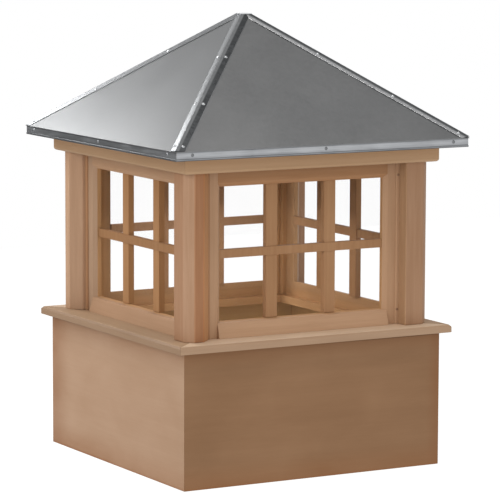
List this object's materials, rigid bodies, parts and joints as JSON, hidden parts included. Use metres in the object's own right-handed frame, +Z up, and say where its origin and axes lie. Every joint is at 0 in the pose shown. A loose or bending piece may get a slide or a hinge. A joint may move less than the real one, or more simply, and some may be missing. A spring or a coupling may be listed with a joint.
{
  "type": "cupola",
  "caption": "Square timber cupola with a hollow base, barred windows set back between chamfered corner posts, and a hipped sheet-metal roof with folded hip caps.",
  "frame": {"origin": "centre of the base's underside", "axes": "+Z up, front wall towards -Y"},
  "size_m": [1.0398, 1.0398, 1.4177],
  "materials": {
    "plywood": "stained, matt",
    "pine": "stained, matt",
    "pine_frame": "stained, matt",
    "clear_sheet": "clear",
    "roof_metal": "galvanised, satin",
    "flashing_metal": "galvanised, satin"
  },
  "bodies": {
    "root": {"base_panel_front": "plywood", "base_panel_right": "plywood", "base_panel_back": "plywood", "base_panel_left": "plywood", "cap_board_front": "pine", "cap_board_right": "pine", "cap_board_back": "pine", "cap_board_left": "pine", "post_front_right": "pine", "post_back_right": "pine", "post_back_left": "pine", "post_front_left": "pine", "stiles_front": "pine_frame", "stiles_right": "pine_frame", "stiles_back": "pine_frame", "stiles_left": "pine_frame", "sill_rail_front": "pine_frame", "sill_rail_right": "pine_frame", "sill_rail_back": "pine_frame", "sill_rail_left": "pine_frame", "top_rail_front": "pine_frame", "top_rail_right": "pine_frame", "top_rail_back": "pine_frame", "top_rail_left": "pine_frame", "grille_front": "pine_frame", "grille_right": "pine_frame", "grille_back": "pine_frame", "grille_left": "pine_frame", "glazing": "clear_sheet", "cornice_front": "pine", "cornice_right": "pine", "cornice_back": "pine", "cornice_left": "pine", "eave_boards": "plywood", "roof_deck": "plywood", "roof_sheet_front": "roof_metal", "roof_sheet_right": "roof_metal", "roof_sheet_back": "roof_metal", "roof_sheet_left": "roof_metal", "hip_cap_front_right": "flashing_metal", "hip_cap_back_right": "flashing_metal", "hip_cap_back_left": "flashing_metal", "hip_cap_front_left": "flashing_metal", "drip_edges": "flashing_metal", "apex_cap": "flashing_metal"}
  },
  "joints": []
}
